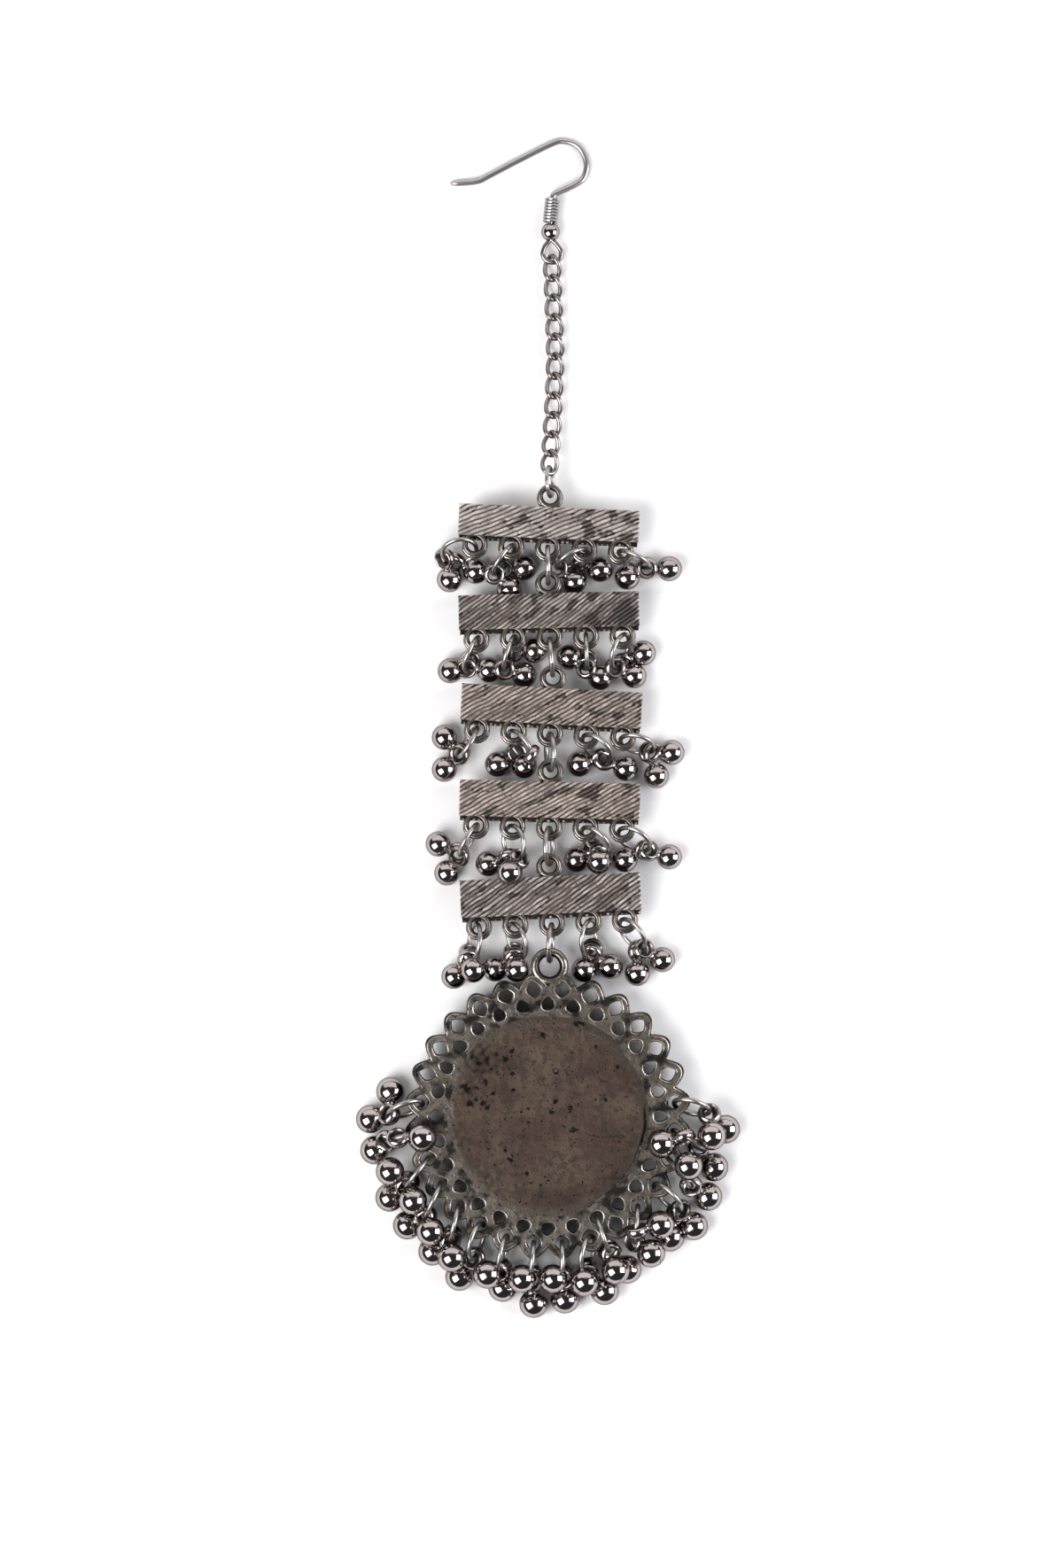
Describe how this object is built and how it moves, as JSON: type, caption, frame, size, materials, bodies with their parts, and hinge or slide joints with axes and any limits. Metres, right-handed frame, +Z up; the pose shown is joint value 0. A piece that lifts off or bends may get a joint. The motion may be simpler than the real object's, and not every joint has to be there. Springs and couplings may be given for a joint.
{
  "type": "maang tikka",
  "caption": "Hair jewel: wire hook, curb chain, stacked bars and a pierced round pendant, fringed with small bells; laid flat, back up.",
  "frame": {"origin": "middle of the footprint, on the surface that the jewel lies on", "axes": "+Y along the jewel towards the hook, +X across it, +Z up out of its back"},
  "size_m": [0.0452, 0.1398, 0.0076],
  "materials": {
    "hook_wire": "bright plated wire, smooth",
    "chain_metal": "plated wire, a little dulled, dark in the joints",
    "ring_metal": "plated wire, slightly dulled",
    "oxidised_bar": "cast, hatched with fine slanting ridges, black in the hollows",
    "oxidised_plate": "cast, oxidised brown-grey, pitted, rubbed bright on the edges",
    "bell_metal": "polished plating"
  },
  "bodies": {
    "root": {"hair_hook": "hook_wire", "hook_coil": "hook_wire", "hook_ball": "hook_wire", "chain": "chain_metal", "chain_ring": "ring_metal", "bar_1": "oxidised_bar", "bar_2": "oxidised_bar", "bar_3": "oxidised_bar", "bar_4": "oxidised_bar", "bar_5": "oxidised_bar", "bar_link_1": "ring_metal", "bar_link_2": "ring_metal", "bar_link_3": "ring_metal", "bar_link_4": "ring_metal", "bar_link_5": "ring_metal", "bar_1_drop_1": "bell_metal", "bar_1_drop_2": "bell_metal", "bar_1_drop_3": "bell_metal", "bar_1_drop_4": "bell_metal", "bar_2_drop_1": "bell_metal", "bar_2_drop_2": "bell_metal", "bar_2_drop_3": "bell_metal", "bar_2_drop_4": "bell_metal", "bar_3_drop_1": "bell_metal", "bar_3_drop_2": "bell_metal", "bar_3_drop_3": "bell_metal", "bar_3_drop_4": "bell_metal", "bar_4_drop_1": "bell_metal", "bar_4_drop_2": "bell_metal", "bar_4_drop_3": "bell_metal", "bar_4_drop_4": "bell_metal", "bar_5_drop_1": "bell_metal", "bar_5_drop_2": "bell_metal", "bar_5_drop_3": "bell_metal", "bar_5_drop_4": "bell_metal", "pendant": "oxidised_plate", "pendant_drop_1": "bell_metal", "pendant_drop_2": "bell_metal", "pendant_drop_3": "bell_metal", "pendant_drop_4": "bell_metal", "pendant_drop_5": "bell_metal", "pendant_drop_6": "bell_metal", "pendant_drop_7": "bell_metal", "pendant_drop_8": "bell_metal", "pendant_drop_9": "bell_metal", "pendant_drop_10": "bell_metal", "pendant_drop_11": "bell_metal", "pendant_drop_12": "bell_metal", "pendant_drop_13": "bell_metal", "pendant_drop_14": "bell_metal", "pendant_drop_15": "bell_metal", "pendant_drop_16": "bell_metal"}
  },
  "joints": []
}
